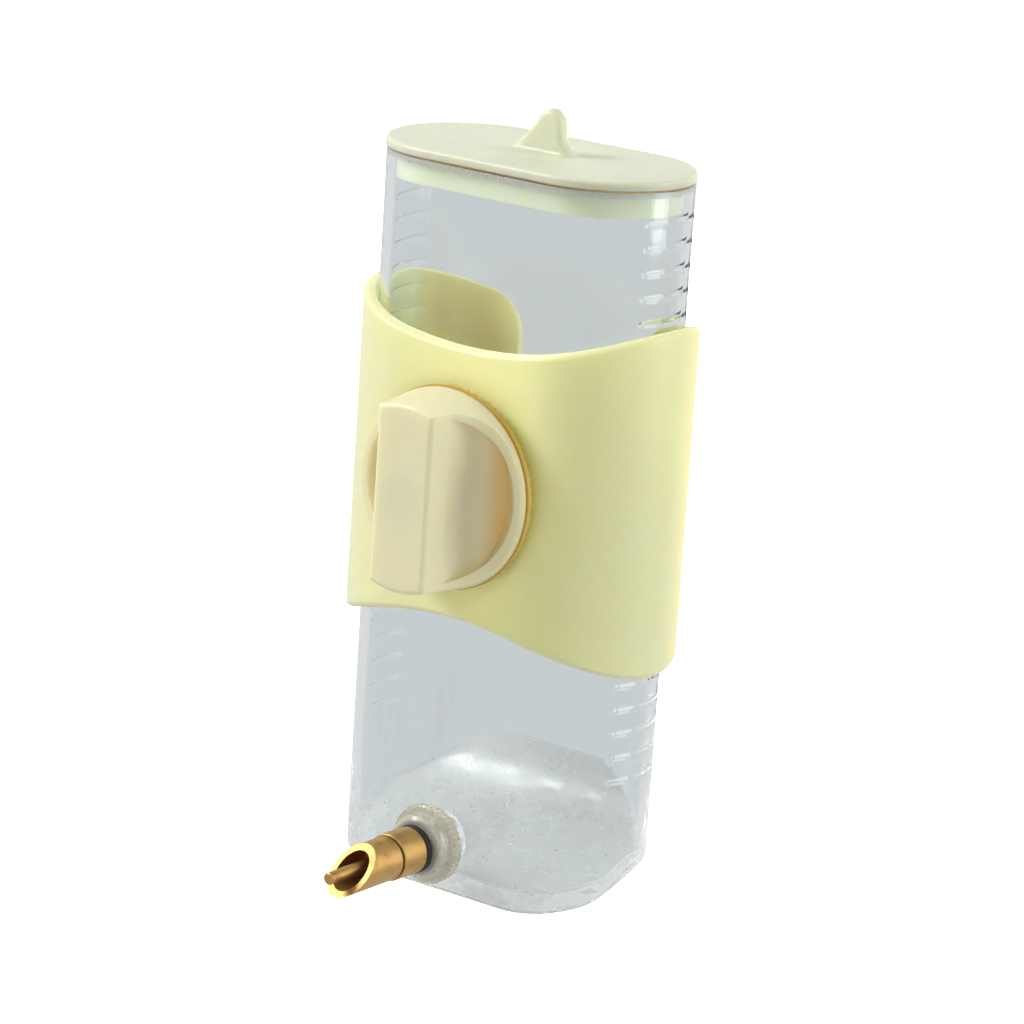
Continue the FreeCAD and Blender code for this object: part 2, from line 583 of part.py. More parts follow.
def make_valve_spring():
    """Helical compression spring between the barrel's step and the valve plug."""
    clear = SPRING_WIRE + 0.05
    length = PLUG_BACK - SPRING_SEAT - 2 * clear
    helix = Part.makeHelix(length / SPRING_TURNS, length, SPRING_RADIUS)
    section = Part.Wire(Part.makeCircle(SPRING_WIRE, Vector(SPRING_RADIUS, 0, 0), Vector(0, 1, 0)))
    coil = Part.Wire(helix).makePipeShell([section], True, True)
    coil.rotate(Vector(0, 0, 0), Vector(1, 0, 0), 90)
    coil.translate(Vector(0, front(SPRING_SEAT + clear), NOZZLE_HEIGHT))
    return coil


SUBPARTS = {
    "bottle": make_bottle,
    "lid": make_lid,
    "lid_seal": make_lid_seal,
    "holder_clip": make_holder_clip,
    "clamp_stud": make_clamp_stud,
    "clamp_knob": make_clamp_knob,
    "knob_nut": make_knob_nut,
    "grip_ring": make_grip_ring,
    "outlet_cap": make_outlet_cap,
    "nozzle_grommet": make_nozzle_grommet,
    "nozzle_barrel": make_nozzle_barrel,
    "spout_washer": make_spout_washer,
    "nozzle_spout": make_nozzle_spout,
    "valve_seat_ring": make_valve_seat_ring,
    "valve_plug": make_valve_plug,
    "valve_pin": make_valve_pin,
    "valve_spring": make_valve_spring,
}

os.makedirs("parts", exist_ok=True)
for node, maker in SUBPARTS.items():
    part_shape = maker()
    print(node, "valid", part_shape.isValid(), "solids", len(part_shape.Solids),
          "volume", round(part_shape.Volume, 1))
    save(node, part_shape)
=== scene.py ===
import json
import math

import bmesh
import bpy
from mathutils import Matrix, Vector


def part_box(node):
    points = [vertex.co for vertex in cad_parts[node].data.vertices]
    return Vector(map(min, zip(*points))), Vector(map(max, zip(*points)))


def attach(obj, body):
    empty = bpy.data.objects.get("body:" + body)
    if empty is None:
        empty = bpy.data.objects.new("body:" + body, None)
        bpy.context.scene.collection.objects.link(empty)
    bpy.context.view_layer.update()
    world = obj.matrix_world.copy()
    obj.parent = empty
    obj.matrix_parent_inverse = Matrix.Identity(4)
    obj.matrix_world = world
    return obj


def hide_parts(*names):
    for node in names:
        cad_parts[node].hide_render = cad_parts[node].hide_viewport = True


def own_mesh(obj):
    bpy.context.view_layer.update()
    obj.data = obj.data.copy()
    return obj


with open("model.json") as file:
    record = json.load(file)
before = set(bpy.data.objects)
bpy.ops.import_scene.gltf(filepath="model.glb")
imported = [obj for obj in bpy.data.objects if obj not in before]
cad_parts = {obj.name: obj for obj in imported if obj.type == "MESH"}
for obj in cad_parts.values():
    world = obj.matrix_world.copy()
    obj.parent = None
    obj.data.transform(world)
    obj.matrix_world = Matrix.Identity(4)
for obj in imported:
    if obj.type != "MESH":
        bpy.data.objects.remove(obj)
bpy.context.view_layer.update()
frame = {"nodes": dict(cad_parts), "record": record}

# Looks of a small-animal drinking bottle: clear flat-sided bottle with a lift-off lid, a pale
# clip clamped by a winged knob, and a brass pin-valve nozzle.  Metres, in the part's own frame:
# +Z up, -Y out of the front towards the cage, +X along the bottle's wide side.

MM = 0.001
BOTTLE_LOW, BOTTLE_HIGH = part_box("bottle")
LID_LOW, LID_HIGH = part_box("lid")
MIDDLE = Vector((0.0, (LID_LOW.y + LID_HIGH.y) / 2, -11.03 * MM))   # what camera and lights face
SHARP_ANGLE = math.radians(40.0)    # edges sharper than this stay crisp


# ---- node helpers ---------------------------------------------------------------------------
def new_material(name):
    """An empty node material, with its Principled shader already on the output."""
    made = bpy.data.materials.new(name)
    made.use_nodes = True
    made.node_tree.nodes.clear()
    output = made.node_tree.nodes.new("ShaderNodeOutputMaterial")
    shader = made.node_tree.nodes.new("ShaderNodeBsdfPrincipled")
    made.node_tree.links.new(shader.outputs["BSDF"], output.inputs["Surface"])
    return made, shader, output


def link(tree, source, target):
    tree.links.new(source, target)


def object_coordinates(tree, stretch=(1.0, 1.0, 1.0)):
    """The piece's own coordinates in metres, scaled on each axis by stretch."""
    place = tree.nodes.new("ShaderNodeTexCoord")
    mapping = tree.nodes.new("ShaderNodeMapping")
    mapping.inputs["Scale"].default_value = stretch
    link(tree, place.outputs["Object"], mapping.inputs["Vector"])
    return mapping.outputs["Vector"]


def noise(tree, scale, detail=3.0, stretch=(1.0, 1.0, 1.0), distortion=0.0):
    """Noise of that many features per metre, as a value from 0 to 1."""
    texture = tree.nodes.new("ShaderNodeTexNoise")
    texture.inputs["Scale"].default_value = scale
    texture.inputs["Detail"].default_value = detail
    texture.inputs["Distortion"].default_value = distortion
    link(tree, object_coordinates(tree, stretch), texture.inputs["Vector"])
    return texture.outputs["Fac"]


def ramp(tree, value, stops):
    """Colours along a 0 to 1 value, from (place, colour) stops."""
    node = tree.nodes.new("ShaderNodeValToRGB")
    ends = node.color_ramp.elements
    for element, (place, colour) in zip(ends, (stops[0], stops[-1])):
        element.position = place
        element.color = (*colour, 1.0)
    for place, colour in stops[1:-1]:
        ends.new(place).color = (*colour, 1.0)
    link(tree, value, node.inputs["Fac"])
    return node.outputs["Color"]


def spread(tree, value, low, high):
    """A 0.3 to 0.7 value, as noise gives, carried to the range low to high."""
    node = tree.nodes.new("ShaderNodeMapRange")
    node.inputs["From Min"].default_value = 0.3
    node.inputs["From Max"].default_value = 0.7
    node.inputs["To Min"].default_value = low
    node.inputs["To Max"].default_value = high
    link(tree, value, node.inputs["Value"])
    return node.outputs["Result"]


def bump(tree, shader, layers):
    """Bump from (height value, depth in metres, strength) layers, one on top of another."""
    normal = None
    for value, depth, strength in layers:
        node = tree.nodes.new("ShaderNodeBump")
        node.inputs["Distance"].default_value = depth
        node.inputs["Strength"].default_value = strength
        link(tree, value, node.inputs["Height"])
        if normal is not None:
            link(tree, normal, node.inputs["Normal"])
        normal = node.outputs["Normal"]
    link(tree, normal, shader.inputs["Normal"])


def along_y(tree, start, end):
    """0 at the piece's own Y of start and 1 at end, in millimetres."""
    axes = tree.nodes.new("ShaderNodeSeparateXYZ")
    link(tree, object_coordinates(tree), axes.inputs["Vector"])
    node = tree.nodes.new("ShaderNodeMapRange")
    node.interpolation_type = "SMOOTHSTEP"
    node.inputs["From Min"].default_value = start * MM
    node.inputs["From Max"].default_value = end * MM
    link(tree, axes.outputs["Y"], node.inputs["Value"])
    return node.outputs["Result"]


def mixed_colours(tree, factor, first, second):
    node = tree.nodes.new("ShaderNodeMix")
    node.data_type = "RGBA"
    link(tree, factor, node.inputs["Factor"])
    link(tree, first, node.inputs["A"])
    node.inputs["B"].default_value = (*second, 1.0)
    return node.outputs["Result"]


# ---- materials ------------------------------------------------------------------------------
def moulded_plastic(name, light, dark, roughness, glow, painted_light_band=None):
    """Soft, slightly translucent moulded plastic: faint flow marks and a fine satin grain.

    The last argument is (colour, start, end): a painted band of that colour between those places
    along Y, where light reaches it only through the plastic: painted light, a painted glow on the
    clip and painted shade deep in the knob.
    """
    made, shader, output = new_material(name)
    tree = made.node_tree
    flow = noise(tree, 42.0, 4.0, (1.0, 1.0, 0.45), 0.6)
    colour = ramp(tree, flow, [(0.25, dark), (0.55, light), (0.8, light)])
    # painted light along Y: a painted glow on the clip, painted shade on the knob
    if painted_light_band is not None:
        colour = mixed_colours(tree, along_y(tree, painted_light_band[1], painted_light_band[2]), colour, painted_light_band[0])
    link(tree, colour, shader.inputs["Base Color"])
    link(tree, spread(tree, noise(tree, 900.0, 4.0), roughness - 0.05, roughness + 0.06),
         shader.inputs["Roughness"])
    shader.inputs["IOR"].default_value = 1.49
    shader.inputs["Subsurface Weight"].default_value = glow
    shader.inputs["Subsurface Radius"].default_value = (1.0, 0.9, 0.35)
    shader.inputs["Subsurface Scale"].default_value = 2.4 * MM
    bump(tree, shader, [(noise(tree, 55.0, 2.0), 0.25 * MM, 0.12),
                        (noise(tree, 5200.0, 3.0), 0.02 * MM, 0.25)])
    return made


def clear_plastic(name, tint, roughness, waviness, clearness=1.0):
    """Clear or milky moulded plastic that bends light; lamps shine through it."""
    made, shader, output = new_material(name)
    tree = made.node_tree
    shader.inputs["Base Color"].default_value = (*tint, 1.0)
    shader.inputs["IOR"].default_value = 1.5
    shader.inputs["Transmission Weight"].default_value = clearness
    link(tree, spread(tree, noise(tree, 160.0, 5.0), roughness * 0.4, roughness * 1.6),
         shader.inputs["Roughness"])
    bump(tree, shader, [(noise(tree, 38.0, 2.0, (1.0, 1.0, 0.35)), 0.6 * MM, waviness),
                        (noise(tree, 260.0, 2.0, (1.0, 1.0, 0.3)), 0.02 * MM, 0.05)])
    open_to_lamps = tree.nodes.new("ShaderNodeBsdfTransparent")
    open_to_lamps.inputs["Color"].default_value = (*[math.sqrt(part) for part in tint], 1.0)
    path = tree.nodes.new("ShaderNodeLightPath")
    mix = tree.nodes.new("ShaderNodeMixShader")
    link(tree, path.outputs["Is Shadow Ray"], mix.inputs["Fac"])
    link(tree, shader.outputs["BSDF"], mix.inputs[1])
    link(tree, open_to_lamps.outputs["BSDF"], mix.inputs[2])
    link(tree, mix.outputs["Shader"], output.inputs["Surface"])
    return made


def turned_metal(name, light, dark, roughness, ring_scale):
    """Metal from a lathe: fine rings round the Y axis, tarnish in patches and dark specks."""
    made, shader, output = new_material(name)
    tree = made.node_tree
    tarnish = noise(tree, 260.0, 6.0, (1.0, 1.0, 1.0), 0.8)
    link(tree, ramp(tree, tarnish, [(0.28, dark), (0.5, light), (0.75, light)]),
         shader.inputs["Base Color"])
    shader.inputs["Metallic"].default_value = 1.0
    rings = noise(tree, 1.0, 4.0, (60.0, ring_scale, 60.0))
    link(tree, spread(tree, rings, roughness - 0.08, roughness + 0.12),
         shader.inputs["Roughness"])
    bump(tree, shader, [(rings, 0.03 * MM, 0.35), (noise(tree, 1500.0, 4.0), 0.02 * MM, 0.2)])
    return made


def rubber(name, light, dark, roughness):
    made, shader, output = new_material(name)
    tree = made.node_tree
    link(tree, ramp(tree, noise(tree, 500.0, 4.0), [(0.3, dark), (0.7, light)]),
         shader.inputs["Base Color"])
    link(tree, spread(tree, noise(tree, 1200.0, 3.0), roughness - 0.08, roughness + 0.08),
         shader.inputs["Roughness"])
    shader.inputs["Specular IOR Level"].default_value = 0.35
    bump(tree, shader, [(noise(tree, 3000.0, 4.0), 0.03 * MM, 0.4)])
    return made


MATERIALS = {
    "clear_plastic": clear_plastic("clear_plastic", (0.835, 0.87, 0.88), 0.03, 0.02),
    "frosted_base": clear_plastic("frosted_base", (0.69, 0.70, 0.695), 0.30, 0.0, 0.65),
    "lid_plastic": moulded_plastic("lid_plastic", (0.77, 0.80, 0.63), (0.74, 0.78, 0.59),
                                   0.36, 1.0),
    # the clip's band from Y 22 to 34 mm is a painted glow: light shining through its back, painted
    # in
    "clip_plastic": moulded_plastic("clip_plastic", (0.91, 0.92, 0.55), (0.89, 0.90, 0.50),
                                    0.33, 1.0, ((1.0, 0.84, 0.42), 22.0, 34.0)),
    # the knob's band from Y -5.4 to -2.2 mm is painted shade: darker and more orange towards the
    # clip
    "knob_plastic": moulded_plastic("knob_plastic", (0.99, 0.88, 0.60), (0.98, 0.84, 0.53),
                                    0.34, 1.0, ((0.95, 0.62, 0.22), -5.4, -2.2)),
    "ring_plastic": moulded_plastic("ring_plastic", (0.66, 0.46, 0.10), (0.58, 0.38, 0.07),
                                    0.3, 0.3),
    "cap_plastic": clear_plastic("cap_plastic", (0.66, 0.64, 0.56), 0.28, 0.1, 0.6),
    "seal_rubber": rubber("seal_rubber", (0.62, 0.44, 0.12), (0.50, 0.33, 0.08), 0.4),
    "black_rubber": rubber("black_rubber", (0.02, 0.018, 0.02), (0.008, 0.008, 0.009), 0.55),
    "brass": turned_metal("brass", (0.53, 0.32, 0.11), (0.35, 0.20, 0.07), 0.42, 9000.0),
    "steel": turned_metal("steel", (0.62, 0.61, 0.58), (0.42, 0.41, 0.38), 0.32, 9000.0),
}


def dress_cad_nodes():
    """Give every CAD node that stays in view the finish of its slot in the record."""
    for sub_part in frame["record"]["subparts"]:
        node = frame["nodes"][sub_part["node"]]
        node.data.materials.clear()
        node.data.materials.append(MATERIALS[sub_part["material_slot"]])


dress_cad_nodes()


# ---- bottle ---------------------------------------------------------------------------------
# Millimetres in this section.  A column is (x, y) of the plan's centre line, the direction
# outwards there, and the degrees round a round end, or None on the flat sides.
RIM_Z = BOTTLE_HIGH.z / MM
BASE_Z = BOTTLE_LOW.z / MM   # lowest edge of the sloping base, in front
END_RADIUS = 19.05
END_CENTRE = 15.95           # to either side of the middle
BOTTLE_MIDDLE_Y = BOTTLE_HIGH.y / MM - END_RADIUS
FRONT_Y = BOTTLE_MIDDLE_Y - END_RADIUS
WALL = 2.0
RIM_ROUNDING = 0.35
RIM_OUTLINE = ((0.0, 3.5), (0.0, 1.0), (0.3, 0.3), (1.0, 0.0))   # (inwards, down) in roundings
BASE_SLOPE = 0.32
BASE_THICKNESS = 3.5
BASE_ROUNDING = 0.9
BACK_SWEEP = 15.0            # radii with which the underside curves up into the back wall
SIDE_SWEEP = 4.0             # and into the round ends
LOWEST_LEVEL = -62.0         # below this the rows follow the slope

MARK_COUNT = 24
MARK_TOP_Z = 58.2
MARK_PITCH = 5.107
MARK_ENDS = (66.0, 114.0)    # degrees round an end, each with a dot
MARK_HALF_WIDTH = 0.8
MARK_HEIGHT = 0.25
DOT_RADIUS = 1.05
DOT_HEIGHT = 0.32
MARK_ROWS = (1.0, 0.78, 0.52, 0.26, 0.0, -0.26, -0.52, -0.78, -1.0)   # above a mark's middle

ACROSS_STEPS = 20            # from side to side
COARSE_TURN = 4.0            # degrees between columns round an end
FINE_TURN = 1.0              # and within FINE_REACH of where the marks end
FINE_REACH = 6.0
CORNER_STEPS = 5             # on the rounding between wall and base
FOOT_ROWS = (0.3, 0.65)      # shares of the way from that rounding up to the lowest level
INNER_ROWS = 8               # from the rim down the inside

CLEAR, FROSTED = 0, 1        # the two finishes of the bottle's skin

# Outlines of the neck and its bore: (forwards from the bottle's front, radius).
NOZZLE_Z = -77.26
NECK_OUTLINE = [(-1.0, 0.0), (-1.0, 6.4), (0.0, 6.4), (1.2, 5.2), (4.2, 5.2), (4.6, 5.6), (5.0, 5.2),
                (5.6, 5.2), (6.0, 5.6), (6.4, 5.2), (7.4, 5.2), (7.4, 0.0)]
NECK_BORE = [(-WALL - 1.0, 0.0), (-WALL - 1.0, 4.2), (8.4, 4.2), (8.4, 0.0)]
ROUND_STEPS = 64


def end_angles():
    """Degrees round an end from front to back, close together where the marks end."""
    angles = [0.0]
    while angles[-1] < 180.0:
        to_mark_end = min(abs(angles[-1] + FINE_TURN / 2 - end) for end in MARK_ENDS)
        turn = FINE_TURN if to_mark_end < FINE_REACH else COARSE_TURN
        angles.append(min(180.0, angles[-1] + turn))
    return angles


def round_columns(side):
    """Columns of the right end (side 1) or the left end (side -1), from front to back."""
    columns = []
    for angle in end_angles():
        turn = math.radians(angle)
        outwards = Vector((side * math.sin(turn), -math.cos(turn)))
        columns.append((Vector((side * END_CENTRE, BOTTLE_MIDDLE_Y)), outwards, angle))
    return columns


def fractions_across():
    """Where the grid's lines lie between the middle (0) and the sides (-1 and 1)."""
    return [math.sin(math.pi * (step / ACROSS_STEPS - 0.5)) for step in range(ACROSS_STEPS + 1)]


def flat_columns(side):
    """Columns of the back (side 1) or the front (side -1), in the order of bottle_columns()."""
    return [(Vector((-side * END_CENTRE * fraction, BOTTLE_MIDDLE_Y)), Vector((0.0, side)), None)
            for fraction in fractions_across()[1:-1]]


def bottle_columns():
    """Once round the plan: right end, back, left end, front."""
    return round_columns(1) + flat_columns(1) + round_columns(-1)[::-1] + flat_columns(-1)


def mark_height(angle, z):
    """How far the raised capacity marks stand out there."""
    if angle is None:
        return 0.0
    index = min(MARK_COUNT - 1, max(0, round((MARK_TOP_Z - z) / MARK_PITCH)))
    above = z - (MARK_TOP_Z - index * MARK_PITCH)
    height = 0.0
    if MARK_ENDS[0] <= angle <= MARK_ENDS[1] and abs(above) < MARK_HALF_WIDTH:
        height = MARK_HEIGHT * math.cos(math.pi / 2 * above / MARK_HALF_WIDTH) ** 2
    for end in MARK_ENDS:
        away = math.hypot(above, END_RADIUS * math.radians(angle - end))
        if away < DOT_RADIUS:
            height = max(height, DOT_HEIGHT * math.cos(math.pi / 2 * away / DOT_RADIUS) ** 2)
    return height


def base_z(y):
    """Height of the sloping underside."""
    return BASE_Z + BASE_SLOPE * (y - FRONT_Y)


def swept_z(x, y, inset, thickness):
    """Height of the underside, or of the inner floor that lies inset and thickness inside it."""
    slope = math.atan(BASE_SLOPE)
    radius = BACK_SWEEP - inset
    centre_y = BOTTLE_MIDDLE_Y + END_RADIUS - BACK_SWEEP
    if y > centre_y + radius * math.sin(slope):
        centre_z = base_z(centre_y) + radius / math.cos(slope)
        height = centre_z - math.sqrt(max(0.0, radius ** 2 - (y - centre_y) ** 2))
    else:
        height = base_z(y)
    radius = SIDE_SWEEP - inset
    beyond = abs(x) - (END_CENTRE + END_RADIUS - SIDE_SWEEP)
    if beyond > 0.0:
        height += radius - math.sqrt(max(0.0, radius ** 2 - beyond ** 2))
    return height + thickness


def on_column(column, offset, z):
    """Point at that height and that far outside the bottle's wall."""
    middle, outwards = column[:2]
    place = middle + outwards * (END_RADIUS + offset)
    return Vector((place.x, place.y, z))


def base_corner(column, inset, thickness, along):
    """Point on the rounding between wall and base: along runs from 0 to 1."""
    corner = on_column(column, -inset, 0.0)
    corner.z = swept_z(corner.x, corner.y, inset, thickness)
    start = corner + Vector((0.0, 0.0, BASE_ROUNDING))
    finish = on_column(column, -inset - BASE_ROUNDING, 0.0)
    finish.z = swept_z(finish.x, finish.y, inset, thickness)
    return start * (1 - along) ** 2 + corner * 2 * along * (1 - along) + finish * along ** 2


def ring(mesh, places):
    return [mesh.verts.new(place) for place in places]


def bridge(mesh, upper, lower, finish=CLEAR):
    """Faces between two closed rings of as many points; finish is their material's index."""
    for index in range(len(upper)):
        after = (index + 1) % len(upper)
        face = mesh.faces.new((upper[index], lower[index], lower[after], upper[after]))
        face.material_index = finish


def bridge_all(mesh, rings):
    """A closed skin over the rings in turn, with a face over each end."""
    for one, other in zip(rings, rings[1:]):
        bridge(mesh, one, other)
    mesh.faces.new(rings[0])
    mesh.faces.new(rings[-1])


def deck(mesh, edge_ring, inset, thickness):
    """Close a ring of the bottle's plan with a grid of the underside or the inner floor."""
    count = len(end_angles())
    between = ACROSS_STEPS - 1
    right = edge_ring[:count]
    back = edge_ring[count:count + between]
    left = edge_ring[count + between:2 * count + between][::-1]
    front = edge_ring[2 * count + between:]
    rows = [[left[0]] + front + [right[0]]]
    for index in range(1, count - 1):
        half, y = right[index].co.x, right[index].co.y
        inner = [mesh.verts.new((half * part, y, swept_z(half * part, y, inset, thickness)))
                 for part in fractions_across()[1:-1]]
        rows.append([left[index]] + inner + [right[index]])
    rows.append([left[-1]] + back[::-1] + [right[-1]])
    for row, after in zip(rows, rows[1:]):
        for index in range(ACROSS_STEPS):
            face = mesh.faces.new((row[index], row[index + 1], after[index + 1], after[index]))
            face.material_index = FROSTED


def level_heights():
    """Heights of the outside's rows, from the rim down: a set for each mark."""
    heights = []
    for index in range(MARK_COUNT):
        heights += [MARK_TOP_Z - index * MARK_PITCH + row for row in MARK_ROWS]
    return heights


def shell_rings(mesh, columns):
    """Rings of the bottle's skin, from its underside up the outside and down the inside.

    Each comes with True where the surface is frosted: at the base and at the rim.
    """
    rings = []

    def add(place, frosted):
        rings.append((ring(mesh, [place(column) for column in columns]), frosted))

    def on_foot(column, part):
        return (base_corner(column, 0.0, 0.0, 0.0) * (1 - part)
                + on_column(column, 0.0, LOWEST_LEVEL) * part)

    for step in range(CORNER_STEPS + 1):
        add(lambda column: base_corner(column, 0.0, 0.0, 1.0 - step / CORNER_STEPS), True)
    for part in FOOT_ROWS:
        add(lambda column: on_foot(column, part), False)
    for z in level_heights()[::-1]:
        add(lambda column: on_column(column, mark_height(column[2], z), z), False)
    for inset, drop in RIM_OUTLINE:
        add(lambda column: on_column(column, -RIM_ROUNDING * inset,
                                     RIM_Z - RIM_ROUNDING * drop), True)
    for inset, drop in RIM_OUTLINE[::-1]:
        add(lambda column: on_column(column, RIM_ROUNDING * inset - WALL,
                                     RIM_Z - RIM_ROUNDING * drop), True)
    for step in range(1, INNER_ROWS + 1):
        z = RIM_Z + (LOWEST_LEVEL - RIM_Z) * step / INNER_ROWS
        add(lambda column: on_column(column, -WALL, z), False)
    for step in range(CORNER_STEPS + 1):
        add(lambda column: base_corner(column, WALL, BASE_THICKNESS, step / CORNER_STEPS), True)
    return rings


def mesh_from(made, name, finishes=("clear_plastic", "frosted_base")):
    """Finished Blender mesh in metres from a bmesh in millimetres."""
    bmesh.ops.recalc_face_normals(made, faces=made.faces)
    bmesh.ops.scale(made, vec=(MM, MM, MM), verts=made.verts)
    mesh = bpy.data.meshes.new(name)
    made.to_mesh(mesh)
    made.free()
    for finish in finishes:
        mesh.materials.append(MATERIALS[finish])
    return mesh


def bottle_skin():
    made = bmesh.new()
    rings = shell_rings(made, bottle_columns())
    for (lower, lower_frosted), (upper, upper_frosted) in zip(rings, rings[1:]):
        bridge(made, upper, lower, FROSTED if lower_frosted and upper_frosted else CLEAR)
    deck(made, rings[0][0], 0.0, 0.0)
    deck(made, rings[-1][0], WALL, BASE_THICKNESS)
    return mesh_from(made, "bottle_skin")


def turned_mesh(outline, name):
    """Solid turned about the nozzle's axis from an outline whose ends lie on the axis."""
    made = bmesh.new()
    rings = []
    turns = [2 * math.pi * step / ROUND_STEPS for step in range(ROUND_STEPS)]
    for forwards, radius in outline[1:-1]:
        rings.append(ring(made, [Vector((radius * math.sin(turn), FRONT_Y - forwards,
                                         NOZZLE_Z + radius * math.cos(turn))) for turn in turns]))
    bridge_all(made, rings)
    return mesh_from(made, name)


def combined(mesh, tool_mesh, operation):
    """The mesh after a Boolean with the tool's mesh."""
    scene = bpy.context.scene.collection
    base = bpy.data.objects.new("base", mesh)
    tool = bpy.data.objects.new("tool", tool_mesh)
    scene.objects.link(base)
    scene.objects.link(tool)
    step = base.modifiers.new("step", "BOOLEAN")
    step.solver = "EXACT"
    step.operation = operation
    step.object = tool
    result = bpy.data.meshes.new_from_object(
        base.evaluated_get(bpy.context.evaluated_depsgraph_get()))
    bpy.data.objects.remove(base)
    bpy.data.objects.remove(tool)
    return result


def placed(mesh, name):
    """The mesh as an object in the scene, shaded smooth except at its sharp edges."""
    mesh.name = name
    mesh.shade_smooth()
    mesh.set_sharp_from_angle(angle=SHARP_ANGLE)
    made = bpy.data.objects.new(name, mesh)
    bpy.context.scene.collection.objects.link(made)
    return made


def make_bottle():
    mesh = combined(bottle_skin(), turned_mesh(NECK_OUTLINE, "neck"), "UNION")
    mesh = combined(mesh, turned_mesh(NECK_BORE, "neck_bore"), "DIFFERENCE")
    bottle = placed(mesh, "bottle_shell")
    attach(bottle, "bottle")
    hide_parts("bottle")


make_bottle()


# ---- valve spring ---------------------------------------------------------------------------
# Millimetres in this section.  The real spring shortens as the plug is pushed back; this coil is
# built at one length.
COIL_RADIUS = 1.32           # to the middle of the wire
COIL_WIRE = 0.24             # the wire's own radius
COIL_TURNS = 7
COIL_BACK_Y = -2.99
COIL_FRONT_Y = -10.61
COIL_STEPS = 40              # to each turn
WIRE_STEPS = 12


def wire_section(step):
    """Points round the wire at that step along the coil."""
    turn = 2 * math.pi * step / COIL_STEPS
    outwards = Vector((math.cos(turn), 0.0, math.sin(turn)))
    centre = outwards * COIL_RADIUS + Vector((0.0, COIL_BACK_Y, NOZZLE_Z))
    centre.y += (COIL_FRONT_Y - COIL_BACK_Y) * step / (COIL_TURNS * COIL_STEPS)
    angles = [2 * math.pi * part / WIRE_STEPS for part in range(WIRE_STEPS)]
    return [centre + (outwards * math.cos(angle) + Vector((0.0, math.sin(angle), 0.0))) * COIL_WIRE
            for angle in angles]


def make_spring():
    made = bmesh.new()
    rings = [ring(made, wire_section(step)) for step in range(COIL_TURNS * COIL_STEPS + 1)]
    bridge_all(made, rings)
    coil = placed(mesh_from(made, "valve_spring_coil", ("steel",)), "valve_spring_coil")
    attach(coil, "bottle")
    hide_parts("valve_spring")
    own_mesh(coil)


make_spring()


# ---- stage, light and camera ----------------------------------------------------------------
FLOOR_DROP = 0.13            # the bottle slides down by 90 mm, so the floor lies lower
FLOOR_SIZE = 40.0
FLOOR_GLOW = 0.80            # the floor is lit from below as a light table is, so it stays white
WALLS_SEEN = 0.85            # brightness of the studio's walls in reflections and through plastic
WALLS_FILL = 0.25            # and as light on the object
FLOOR_SEEN = 0.79            # the same two brightnesses of the floor
FLOOR_FILL = 0.50

CLEAR_BOUNCES = 24           # light goes on through the bottle's walls and base this many times
ALL_BOUNCES = 32

CAMERA_AZIMUTH = math.radians(36.21)
CAMERA_ELEVATION = math.radians(14.88)
CAMERA_ROLL = math.radians(3.825)
CAMERA_DISTANCE = 957.6 * MM
CAMERA_LENS = 160.8          # on the default 36 mm sensor
CAMERA_ASIDE = 0.959 * MM    # the object's middle lies this far right of the picture's middle
CAMERA_ABOVE = 1.357 * MM    # and this far below it


def direction(azimuth, elevation):
    """Unit vector from the object towards a place at that azimuth and elevation."""
    return Vector((math.sin(azimuth) * math.cos(elevation),
                   -math.cos(azimuth) * math.cos(elevation), math.sin(elevation)))


def floor_material():
    """White paint to the camera, and plain light of the floor's brightness to all other rays."""
    made, shader, output = new_material("floor_paint")
    tree = made.node_tree
    link(tree, ramp(tree, noise(tree, 3.0, 2.0), [(0.3, (0.93, 0.93, 0.93)),
                                                  (0.7, (0.95, 0.95, 0.95))]),
         shader.inputs["Base Color"])
    shader.inputs["Roughness"].default_value = 0.9
    shader.inputs["Specular IOR Level"].default_value = 0.1
    shader.inputs["Emission Color"].default_value = (1.0, 1.0, 1.0, 1.0)
    shader.inputs["Emission Strength"].default_value = FLOOR_GLOW
    indirect = tree.nodes.new("ShaderNodeEmission")
    path = tree.nodes.new("ShaderNodeLightPath")
    strength = tree.nodes.new("ShaderNodeMapRange")
    strength.inputs["To Min"].default_value = FLOOR_SEEN
    strength.inputs["To Max"].default_value = FLOOR_FILL
    link(tree, path.outputs["Is Diffuse Ray"], strength.inputs["Value"])
    link(tree, strength.outputs["Result"], indirect.inputs["Strength"])
    mix = tree.nodes.new("ShaderNodeMixShader")
    link(tree, path.outputs["Is Camera Ray"], mix.inputs["Fac"])
    link(tree, indirect.outputs["Emission"], mix.inputs[1])
    link(tree, shader.outputs["BSDF"], mix.inputs[2])
    link(tree, mix.outputs["Shader"], output.inputs["Surface"])
    return made


def make_floor():
    mesh = bpy.data.meshes.new("floor")
    half = FLOOR_SIZE / 2
    drop = BOTTLE_LOW.z - FLOOR_DROP
    corners = [(-half, -half, drop), (half, -half, drop), (half, half, drop), (-half, half, drop)]
    mesh.from_pydata(corners, [], [(0, 1, 2, 3)])
    mesh.materials.append(floor_material())
    floor = bpy.data.objects.new("floor", mesh)
    bpy.context.scene.collection.objects.link(floor)


def soft_light(name, azimuth, elevation, distance, size, power, colour, seen=True):
    """An area light that faces the object's middle; seen if it shows in or through plastic.

    Angles are in degrees, round from the front and up from level; distance and size in metres.
    """
    data = bpy.data.lights.new(name, "AREA")
    data.shape = "RECTANGLE"
    data.size, data.size_y = size
    data.energy = power
    data.color = colour
    lamp = bpy.data.objects.new(name, data)
    back = direction(math.radians(azimuth), math.radians(elevation))
    lamp.location = MIDDLE + back * distance
    lamp.visible_glossy = seen
    lamp.visible_transmission = seen
    lamp.rotation_mode = "QUATERNION"
    lamp.rotation_quaternion = (-back).to_track_quat("-Z", "Y")
    bpy.context.scene.collection.objects.link(lamp)


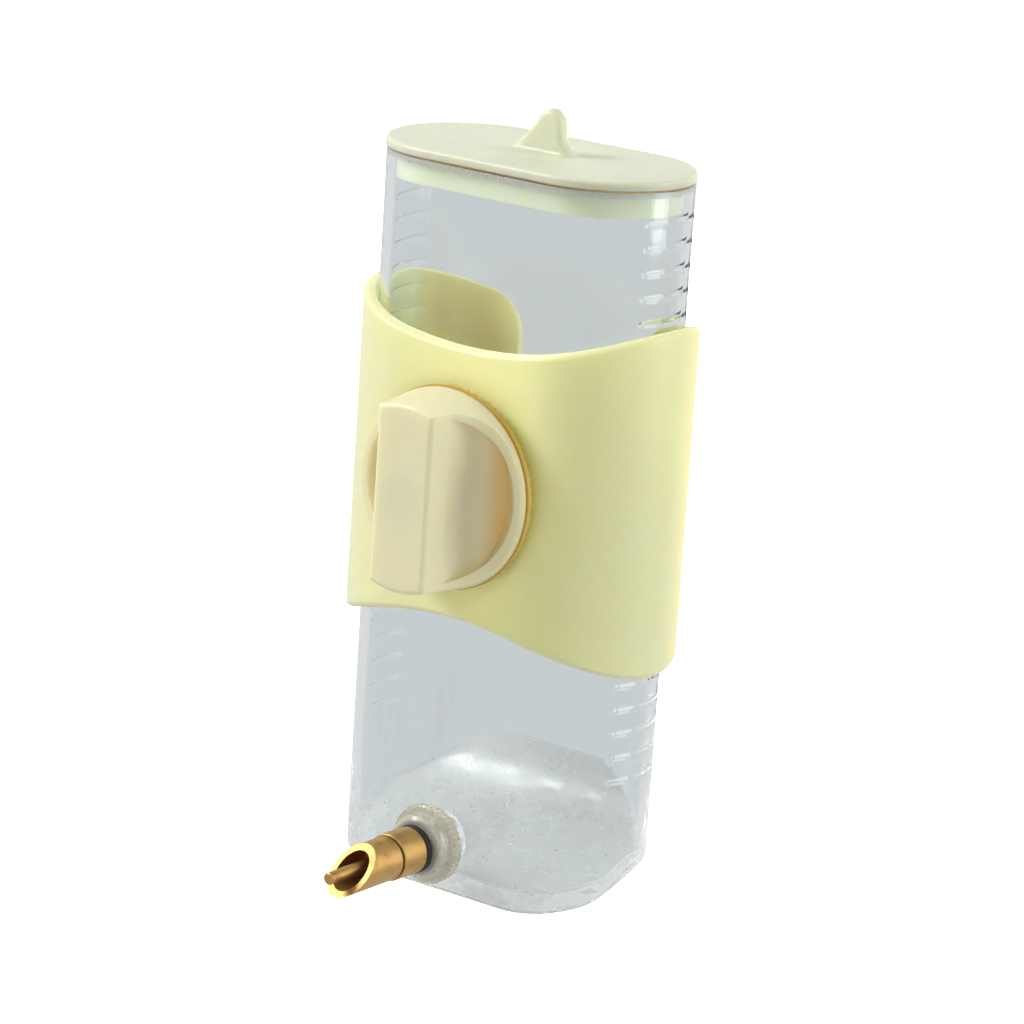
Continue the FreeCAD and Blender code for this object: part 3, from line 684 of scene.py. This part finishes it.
def make_lights():
    soft_light("key", -55.0, 36.0, 1.1, (0.45, 0.36), 8.0, (1.0, 0.99, 0.97))
    soft_light("top", 20.0, 80.0, 1.2, (1.0, 1.0), 1.2, (1.0, 1.0, 1.0))
    soft_light("side", 115.0, 18.0, 1.2, (0.5, 1.2), 6.8, (0.98, 0.99, 1.0))
    soft_light("back", 190.0, 5.0, 1.3, (0.9, 0.6), 30.0, (1.0, 0.97, 0.92), False)
    soft_light("front", 20.0, 25.0, 1.2, (0.8, 0.8), 1.5, (1.0, 0.93, 0.85), False)


def make_walls():
    """The world, with its brightnesses for reflections and for light; the camera sees it white."""
    world = bpy.data.worlds.new("studio")
    world.use_nodes = True
    tree = world.node_tree
    background = tree.nodes["Background"]
    background.inputs["Color"].default_value = (0.97, 0.985, 1.0, 1.0)
    path = tree.nodes.new("ShaderNodeLightPath")
    strength = tree.nodes.new("ShaderNodeMapRange")
    strength.inputs["To Min"].default_value = WALLS_SEEN
    strength.inputs["To Max"].default_value = WALLS_FILL
    link(tree, path.outputs["Is Diffuse Ray"], strength.inputs["Value"])
    backdrop = tree.nodes.new("ShaderNodeMath")
    backdrop.operation = "MAXIMUM"
    link(tree, strength.outputs["Result"], backdrop.inputs[0])
    link(tree, path.outputs["Is Camera Ray"], backdrop.inputs[1])
    link(tree, backdrop.outputs["Value"], background.inputs["Strength"])
    bpy.context.scene.world = world


def make_camera():
    data = bpy.data.cameras.new("camera")
    data.lens = CAMERA_LENS
    data.clip_start = 0.05
    data.clip_end = 30.0
    forward = -direction(CAMERA_AZIMUTH, CAMERA_ELEVATION)
    level = forward.cross(Vector((0, 0, 1))).normalized()
    down = forward.cross(level)
    right = level * math.cos(CAMERA_ROLL) - down * math.sin(CAMERA_ROLL)
    below = level * math.sin(CAMERA_ROLL) + down * math.cos(CAMERA_ROLL)
    place = MIDDLE - forward * CAMERA_DISTANCE - right * CAMERA_ASIDE - below * CAMERA_ABOVE
    camera = bpy.data.objects.new("camera", data)
    turn = Matrix((right, -below, -forward)).transposed().to_4x4()
    camera.matrix_world = Matrix.Translation(place) @ turn
    bpy.context.scene.collection.objects.link(camera)
    bpy.context.scene.camera = camera


make_floor()
make_lights()
make_walls()
make_camera()
bpy.context.scene.view_settings.view_transform = "Standard"
bpy.context.scene.cycles.transparent_max_bounces = CLEAR_BOUNCES
bpy.context.scene.cycles.transmission_bounces = CLEAR_BOUNCES
bpy.context.scene.cycles.glossy_bounces = CLEAR_BOUNCES
bpy.context.scene.cycles.max_bounces = ALL_BOUNCES
